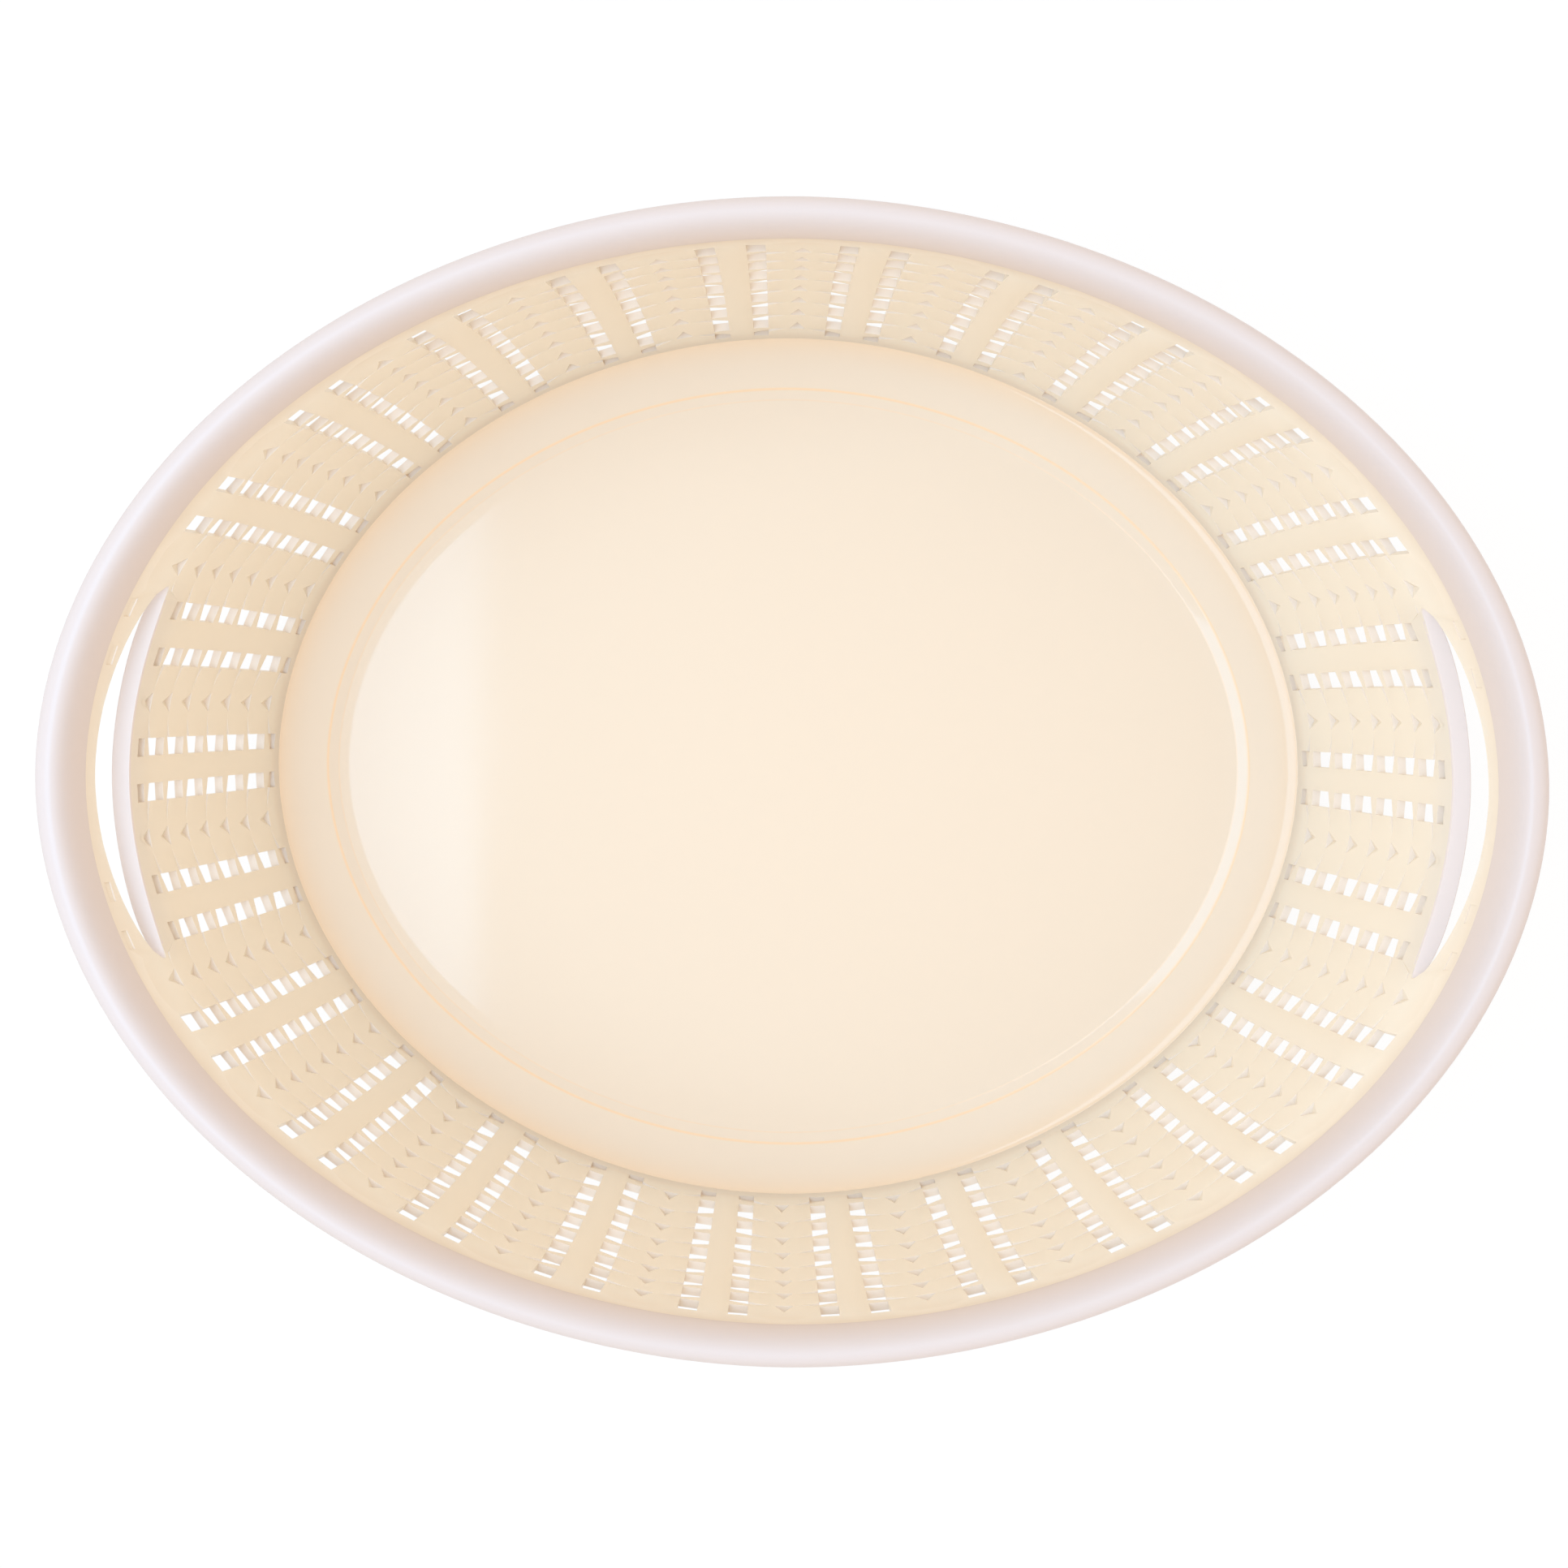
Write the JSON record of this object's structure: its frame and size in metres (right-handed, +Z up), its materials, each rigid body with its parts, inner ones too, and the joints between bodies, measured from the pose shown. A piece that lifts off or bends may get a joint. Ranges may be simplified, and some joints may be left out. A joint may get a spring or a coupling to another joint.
{
  "type": "plastic basket",
  "caption": "Oval open basket with a woven-look wall pierced by small windows, a rolled rim with a hanging skirt, a raised floor margin and a hand slot over a shelf at each end.",
  "frame": {"origin": "centre of the flat underside of the floor disc, which the basket stands on, under the middle of the rim's bounding box", "axes": "+X along the basket's length through the two hand slots, +Y across it, +Z up out of the mouth"},
  "size_m": [0.412, 0.319, 0.115],
  "materials": {
    "cream_plastic": "smooth moulded plastic in warm cream, satin gloss, slightly see-through in thin places"
  },
  "bodies": {
    "root": {"floor_disc": "cream_plastic", "floor_margin": "cream_plastic", "grip_band_01": "cream_plastic", "grip_band_13": "cream_plastic", "grip_band_14": "cream_plastic", "grip_band_26": "cream_plastic", "grip_lip_left": "cream_plastic", "grip_lip_right": "cream_plastic", "rim_segment_01": "cream_plastic", "rim_segment_02": "cream_plastic", "rim_segment_03": "cream_plastic", "rim_segment_04": "cream_plastic", "rim_segment_05": "cream_plastic", "rim_segment_06": "cream_plastic", "rim_segment_07": "cream_plastic", "rim_segment_08": "cream_plastic", "rim_segment_09": "cream_plastic", "rim_segment_10": "cream_plastic", "rim_segment_11": "cream_plastic", "rim_segment_12": "cream_plastic", "rim_segment_13": "cream_plastic", "rim_segment_14": "cream_plastic", "rim_segment_15": "cream_plastic", "rim_segment_16": "cream_plastic", "rim_segment_17": "cream_plastic", "rim_segment_18": "cream_plastic", "rim_segment_19": "cream_plastic", "rim_segment_20": "cream_plastic", "wall_bay_01": "cream_plastic", "wall_bay_02": "cream_plastic", "wall_bay_03": "cream_plastic", "wall_bay_04": "cream_plastic", "wall_bay_05": "cream_plastic", "wall_bay_06": "cream_plastic", "wall_bay_07": "cream_plastic", "wall_bay_08": "cream_plastic", "wall_bay_09": "cream_plastic", "wall_bay_10": "cream_plastic", "wall_bay_11": "cream_plastic", "wall_bay_12": "cream_plastic", "wall_bay_13": "cream_plastic", "wall_bay_14": "cream_plastic", "wall_bay_15": "cream_plastic", "wall_bay_16": "cream_plastic", "wall_bay_17": "cream_plastic", "wall_bay_18": "cream_plastic", "wall_bay_19": "cream_plastic", "wall_bay_20": "cream_plastic", "wall_bay_21": "cream_plastic", "wall_bay_22": "cream_plastic", "wall_bay_23": "cream_plastic", "wall_bay_24": "cream_plastic", "wall_bay_25": "cream_plastic", "wall_bay_26": "cream_plastic"}
  },
  "joints": []
}
